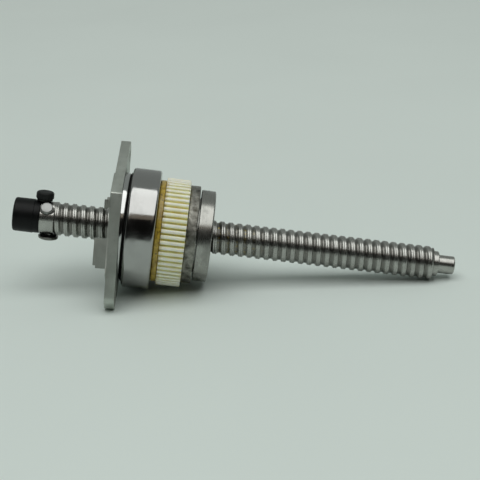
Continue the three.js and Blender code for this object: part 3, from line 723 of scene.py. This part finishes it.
def plate_lug(side):
    """A lug beside a slanted edge; side +1 is the near, lower one and -1 the far, upper one."""
    p, g = PLATE, LUG
    edge = Vector((p["tip_half"] - p["half_width"], p["half_length"])).normalized()
    along = g["along"] if side > 0 else g["along_far"]
    across = p["half_width"] + along * edge.x / edge.y
    centre = Vector((across, along)) - Vector((edge.y, -edge.x)) * g["inset"]
    half_depth, half_length = g["depth"] / 2, g["length"] / 2
    notch = g["notch"]
    # Seen from the side: (x, z) corners, with the notch at its lower outer corner.
    corners = [
        (-g["projection"], -half_length + notch), (-g["projection"] + notch, -half_length + notch),
        (-g["projection"] + notch, -half_length), (1.5, -half_length), (1.5, half_length),
        (-g["projection"], half_length),
    ]
    bm = bmesh.new()
    near = [bm.verts.new((x, -half_depth, z)) for x, z in corners]
    far = [bm.verts.new((x, half_depth, z)) for x, z in corners]
    bridge(bm, near, far)
    bm.faces.new(near)
    bm.faces.new(far)
    moved(bm, Matrix.Rotation(math.atan2(-edge.x, edge.y), 4, "X"))
    moved(bm, Matrix.Translation((p["left"], -centre.x, -centre.y)))
    return moved(bm, Matrix.Rotation(0 if side > 0 else math.pi, 4, "X"))


def retainer_plate():
    p = PLATE
    outline = plate_outline()
    pad = to_object("pad", prism(outline, p["left"], p["ear_left"] + 0.5))
    window = block(p["left"] - 1, p["right"], -60, 60, -p["pad_down"], p["pad_up"])
    modifier = pad.modifiers.new("window", "BOOLEAN")
    modifier.operation = "INTERSECT"
    modifier.solver = "EXACT"
    modifier.object = to_object("tool", window)
    apply_modifiers(pad)
    bpy.data.objects.remove(bpy.data.objects["tool"])
    pad_mesh = bmesh.new()
    pad_mesh.from_mesh(pad.data)
    bpy.data.objects.remove(pad)

    def bore(radius, z, sides):
        hole = turned([(-20, 0), (-20, radius), (5, radius), (5, 0)], sides)
        return moved(hole, Matrix.Translation((0, 0, z)))

    made = to_object("retainer", prism(outline, p["ear_left"], p["right"]))
    bolt_holes = [bore(p["bolt_r"], z, 48) for z in (p["bolt_at"], -p["bolt_at"])]
    carve(made, add=[pad_mesh, plate_lug(1), plate_lug(-1)], cut=[bore(p["bore_r"], 0, 128), *bolt_holes])
    soften(made, 0.28)
    place(made, plate_place(), "housing_side", "plate_grey", PLATE_GREY, "retainer_plate")


def retainer_rings():
    s, d = SPACER, GAP_RING
    spacer = rounded([
        (s["left"], s["inner_r"], 0.15), (s["right"], s["inner_r"], 0.15), (s["right"], s["outer_r"], 1.1),
        (s["left"], s["outer_r"], 0.45),
    ])
    # Its left face follows the leaning plate, so the ring is wide above and thin below.
    behind_plate = block(-20, CLEAR, -60, 60, -60, 60)
    moved(behind_plate, Matrix.Rotation(-PLATE["lean"], 4, "Y"))
    moved(behind_plate, Matrix.Translation((PLATE["right"], 0, PLATE["rise"])))
    made = carve(to_object("polished_spacer", turned(spacer, 192)), cut=[behind_plate])
    place(made, LYING, "housing_side", "polished_steel", POLISHED, "spacer_ring")
    # A black rubber ring sits in the gap between the spacer and the bearing. Its black also stands in for the
    # shade in that gap, so it is partly painted shade.
    damper = rounded([
        (d["left"], d["inner_r"], 0.2), (d["right"], d["inner_r"], 0.2), (d["right"], d["outer_r"], 0.3),
        (d["left"], d["outer_r"], 0.3),
    ])
    place(to_object("black_gap_ring", turned(damper)), LYING, "housing_side", "black_rubber", BLACK_RUBBER,
          "damper_ring")


# ---- Nut and what turns with it --------------------------------------------------------------------------
def nut_bore_radius(u):
    """The nut's ball track mirrors the screw's."""
    away = abs(u)
    half = 1.5
    depth = NUT["groove_r"] - NUT["land_r"]
    return NUT["land_r"] + depth * math.sqrt(max(0.0, 1 - (away / half) ** 2))


def insert_turn(index):
    """Turns a piece's own X to point out of the nut, a third of a turn on for each insert."""
    angle = 2 * math.pi * index / len(CIRCUIT["centres"])
    return Matrix.Rotation(angle, 4, "X") @ X_TO_Z


def ball_nut():
    n, w = NUT, WIPER
    bm = bmesh.new()
    pocket_left, pocket_right = n["left"] + w["depth"], n["right"] - w["depth"]
    left_rim, right_rim = helical_wall(bm, pocket_left, pocket_right, nut_bore_radius, THREAD_SIDES)
    groove_left, groove_right = CIRCLIP["left"] - 0.15, CIRCLIP["right"] + 0.1
    outside = rounded([
        (pocket_right, w["pocket_r"], 0), (n["right"], w["pocket_r"], 0.2), (n["right"], n["body_r"], 0.5),
        (n["seat_right"], n["body_r"], 0.3), (n["seat_right"], n["seat_r"], 0),
        (groove_right, n["seat_r"], 0.05), (groove_right, CIRCLIP["groove_r"], 0),
        (groove_left, CIRCLIP["groove_r"], 0), (groove_left, n["seat_r"], 0.05),
        (n["left"], n["seat_r"], 0.5), (n["left"], w["pocket_r"], 0.2), (pocket_left, w["pocket_r"], 0),
    ])
    chain(bm, right_rim, outside, left_rim)
    holes = []
    for i, x in enumerate(CIRCUIT["centres"]):
        hole = turned([(6, 0), (6, INSERT["hole"]), (20, INSERT["hole"]), (20, 0)], 48)
        holes.append(moved(hole, Matrix.Translation((x, 0, 0)) @ insert_turn(i)))
    made = carve(to_object("nut_body", bm), cut=holes)
    place(made, LYING, "nut", "ring_steel", RING_STEEL, "ball_nut")

    for i, x in enumerate(CIRCUIT["centres"]):
        top = (n["seat_r"] if x < n["seat_right"] else n["body_r"]) - INSERT["clear_top"]
        plug = rounded([(INSERT["inner_r"], 0, 0), (INSERT["inner_r"], INSERT["r"], 0.25),
                        (top, INSERT["r"], 0.4), (top, 0, 0)])
        there = LYING @ Matrix.Translation((x * MM, 0, 0)) @ insert_turn(i)
        place(to_object(f"crossover_{i + 1}", turned(plug, 48)), there, "nut", "black_plastic", SHOE_PLASTIC,
              f"return_insert_{i + 1}")


def ball_circuits():
    """Each loop of balls follows the groove for most of a turn, on the side away from its insert."""
    c = CIRCUIT
    helix = math.hypot(2 * math.pi * c["pitch_r"], LEAD)
    for i, x in enumerate(c["centres"]):
        middle = math.pi / 2 + 2 * math.pi * i / len(c["centres"]) + math.pi
        turns = round((x - PHASE) / LEAD - middle / (2 * math.pi))
        bm = bmesh.new()
        for ball in range(c["balls"]):
            travel = (ball - (c["balls"] - 1) / 2) * c["spacing"]
            angle = middle + 2 * math.pi * travel / helix
            at = around(PHASE + LEAD * (turns + angle / (2 * math.pi)), c["pitch_r"], angle)
            bmesh.ops.create_uvsphere(bm, u_segments=20, v_segments=12, radius=c["ball_r"],
                                      matrix=Matrix.Translation(at))
        place(to_object(f"circuit_{i + 1}", bm), LYING, "nut", "bearing_steel", BALL_STEEL,
              f"ball_circuit_{i + 1}")


def nut_seals():
    w = WIPER
    for side, left in (("left", NUT["left"] + 0.3), ("right", NUT["right"] - w["depth"] + 0.3)):
        right = left + w["thickness"]
        wiper = rounded([
            (left, w["inner_r"] + 0.5, 0), (left + 0.4, w["inner_r"], 0.1), (right - 0.4, w["inner_r"], 0.1),
            (right, w["inner_r"] + 0.5, 0), (right, w["outer_r"], 0.2), (left, w["outer_r"], 0.2),
        ])
        place(to_object(f"wiper_ring_{side}", turned(wiper, 96)), LYING, "nut", "black_rubber", BLACK_RUBBER,
              f"wiper_{side}")

    c = CIRCLIP
    steps = 90
    start, end = c["gap"], 2 * math.pi - c["gap"]
    outer, inner = [], []
    for k in range(steps + 1):
        angle = start + (end - start) * k / steps
        # The ring is widest opposite its gap.
        swell = math.sin((angle - start) / (end - start) * math.pi)
        width = (c["outer_r"] - c["inner_r"]) * (0.72 + 0.28 * swell)
        outer.append((c["inner_r"] + width, angle))
        inner.append((c["inner_r"], angle))
    points = [(r * math.cos(a), r * math.sin(a)) for r, a in outer + inner[::-1]]
    clip = soften(to_object("snap_ring", prism(points, c["left"], c["right"])), 0.1, 2, 50)
    place(clip, LYING, "nut", "ring_steel", PIN_STEEL, "bearing_circlip")


def gear_hub():
    h = HUB
    outline = rounded([
        (h["left"], h["bore_r"], 0.2), (h["left"], h["shoulder_r"], 0.6),
        (h["shoulder_right"], h["shoulder_r"], 0.25), (h["shoulder_right"], h["rim_r"], 0.1),
        (h["right"], h["rim_r"], 0.1), (h["right"], h["bore_r"], 0.2),
    ])
    place(to_object("hub", turned(outline)), LYING, "nut", "amber_plastic", AMBER, "gear_hub")


def drive_gear():
    """A spur rim: each tooth has a rounded tip, sloping flanks and a filleted root."""
    g = GEAR
    flank = [(0.21, 0.99), (0.26, 0.92), (0.29, 0.75), (0.32, 0.45), (0.36, 0.16), (0.42, 0.02)]
    tooth = [(-0.5, 0.0), *[(-turn, rise) for turn, rise in flank[::-1]], (0.0, 1.0), *flank]
    bevel = 0.3
    height = g["tip_r"] - g["root_r"]
    ends = [(g["left"], bevel), (g["left"] + 0.1, bevel * 0.35), (g["left"] + bevel, 0.0)]
    inside = [g["left"] + bevel + (g["right"] - g["left"] - 2 * bevel) * k / 8 for k in range(1, 8)]
    far_ends = [(g["left"] + g["right"] - x, drop) for x, drop in ends[::-1]]
    sections = ends + [(x, 0.0) for x in inside] + far_ends
    bm = bmesh.new()
    rows = []
    for x, drop in sections:
        row = []
        for k in range(g["teeth"]):
            for turn, rise in tooth:
                angle = 2 * math.pi * (k + turn) / g["teeth"]
                radius = g["root_r"] + rise * height - drop * (0.35 + 0.65 * rise)
                row.append(bm.verts.new(around(x, radius, angle)))
        rows.append(row)
    for x, r in ((g["right"], g["inner_r"]), (g["left"], g["inner_r"])):
        count = len(rows[0])
        rows.append([bm.verts.new(around(x, r, 2 * math.pi * (s - 7) / count)) for s in range(count)])
    for i, row in enumerate(rows):
        bridge(bm, row, rows[(i + 1) % len(rows)])
    place(to_object("tooth_rim", bm), LYING, "nut", "cream_plastic", CREAM, "drive_gear", sharp=50)


def thrust_ring():
    """The rough ring keeps the uneven skin it was cast with."""
    t = THRUST
    middle = (t["left"] + t["right"]) / 2
    outline = rounded([
        (t["left"], t["bore_r"], 0.2), (t["left"], t["outer_r"], 0.5), (middle, t["outer_r"], 0),
        (t["right"], t["outer_r"], 0.6), (t["right"], t["bore_r"], 0.2),
    ])
    bm = turned(outline, 240)
    long_edges = [e for e in bm.edges if e.calc_length() > 1.2]
    bmesh.ops.subdivide_edges(bm, edges=long_edges, cuts=3, use_grid_fill=True)
    for v in bm.verts:
        out = math.hypot(v.co.y, v.co.z)
        if out > t["bore_r"] + 0.5:
            lump = noise.noise(v.co * 0.55) * 0.10 + noise.noise(v.co * 1.7) * 0.05 - 0.06
            v.co.y += lump * v.co.y / out
            v.co.z += lump * v.co.z / out
    place(to_object("rough_ring", bm), LYING, "nut", "cast_steel", CAST_STEEL, "thrust_ring", sharp=50)


def end_ring():
    e = END
    outline = rounded([
        (e["left"], e["bore_r"], 0.2), (e["left"], e["outer_r"], 0.35), (e["right"] - 0.2, e["outer_r"], 0.7),
        (e["right"], e["outer_r"] - 1.2, 0.3), (e["right"], e["lip_r"], 0.35),
        (e["lip_left"], e["lip_r"], 0.1), (e["lip_left"], e["bore_r"], 0.1),
    ])
    place(to_object("turned_ring", turned(outline, 192)), LYING, "nut", "ring_steel", RING_STEEL, "end_ring")


# ---- Floor, light and camera -----------------------------------------------------------------------------
def plain_floor():
    size = 12
    bm = bmesh.new()
    bmesh.ops.create_grid(bm, x_segments=2, y_segments=2, size=size / 2)
    floor = to_object("floor", bm)
    s = Shader("floor_paper", own_axes=False)
    split = s.tree.nodes.new("ShaderNodeSeparateXYZ")
    s.feed(split.inputs[0], s.place)
    # Painted light: the floor is painted lighter further back along Y, as light falls on the backdrop.
    paper = s.blend(s.span(split.outputs["Y"], 0.05, 0.8), (0.76, 0.84, 0.80), (0.86, 0.94, 0.895))
    base = s.blend(s.span(s.noise(160, 2), 0.3, 0.7, 0.0, 0.1), paper, (0.60, 0.66, 0.63))
    s.bump(s.noise(0.6, 2), 0.01)
    floor.data.materials.append(s.set(Base_Color=base, Roughness=s.span(s.noise(40, 2), 0.3, 0.7, 0.7, 0.8)))


def area_light(name, radiance, colour, x_size, y_near, y_far, height):
    """A level soft panel overhead, between two places along Y, that faces the ground."""
    data = bpy.data.lights.new(name, "AREA")
    data.shape = "RECTANGLE"
    data.size = x_size
    data.size_y = y_far - y_near
    data.energy = radiance * math.pi * data.size * data.size_y
    data.color = colour
    made = bpy.data.objects.new(name, data)
    made.location = (0, (y_near + y_far) / 2, height)
    bpy.context.scene.collection.objects.link(made)


def studio():
    height = 2.4
    near_edge = -height / math.tan(math.radians(48))
    far_edge = height / math.tan(math.radians(78))
    low_edge = -height / math.tan(math.radians(39))
    area_light("softbox", 1.82, (0.985, 1.0, 0.985), 3.4, near_edge, far_edge, height)
    area_light("warm_panel", 0.25, (1.0, 0.86, 0.68), 3.4, low_edge, near_edge, height)

    world = bpy.data.worlds.new("room")
    world.use_nodes = True
    bpy.context.scene.world = world
    tree = world.node_tree
    tree.nodes.clear()
    coordinate = tree.nodes.new("ShaderNodeTexCoord")
    split = tree.nodes.new("ShaderNodeSeparateXYZ")
    ramp = tree.nodes.new("ShaderNodeValToRGB")
    ramp.color_ramp.elements[0].position = 0.42
    ramp.color_ramp.elements[0].color = (0.007, 0.007, 0.0065, 1)
    ramp.color_ramp.elements[1].position = 0.62
    ramp.color_ramp.elements[1].color = (0.30, 0.325, 0.312, 1)
    shift = tree.nodes.new("ShaderNodeMapRange")
    shift.inputs["From Min"].default_value = -1
    shift.inputs["From Max"].default_value = 1
    background = tree.nodes.new("ShaderNodeBackground")
    output = tree.nodes.new("ShaderNodeOutputWorld")
    tree.links.new(coordinate.outputs["Generated"], split.inputs[0])
    tree.links.new(split.outputs["Y"], shift.inputs["Value"])
    tree.links.new(shift.outputs[0], ramp.inputs[0])
    tree.links.new(ramp.outputs[0], background.inputs["Color"])
    tree.links.new(background.outputs[0], output.inputs["Surface"])
    bpy.context.scene.view_settings.view_transform = "Standard"


def camera():
    """Looks at the screw's axis from the front and above, tipped a little."""
    azimuth, elevation, tip = (math.radians(a) for a in (-0.22, 21.5, -1.33))
    distance = 0.5769
    target = Vector((0.0022, 0, 0.02118))
    back = Vector((-math.sin(azimuth) * math.cos(elevation), -math.cos(azimuth) * math.cos(elevation),
                   math.sin(elevation)))
    right = Vector((math.cos(azimuth), -math.sin(azimuth), 0))
    up = back.cross(right)
    tipped_right = right * math.cos(tip) + up * math.sin(tip)
    tipped_up = up * math.cos(tip) - right * math.sin(tip)
    data = bpy.data.cameras.new("camera")
    data.lens = 93.75
    data.sensor_width = 36
    data.clip_start = 0.01
    made = bpy.data.objects.new("camera", data)
    turn = Matrix((tipped_right, tipped_up, back)).transposed().to_4x4()
    made.matrix_world = Matrix.Translation(target + back * distance) @ turn
    bpy.context.scene.collection.objects.link(made)
    bpy.context.scene.camera = made


screw_shaft()
end_cap()
pins()
bearing()
retainer_plate()
retainer_rings()
ball_nut()
ball_circuits()
nut_seals()
gear_hub()
drive_gear()
thrust_ring()
end_ring()
plain_floor()
studio()
camera()
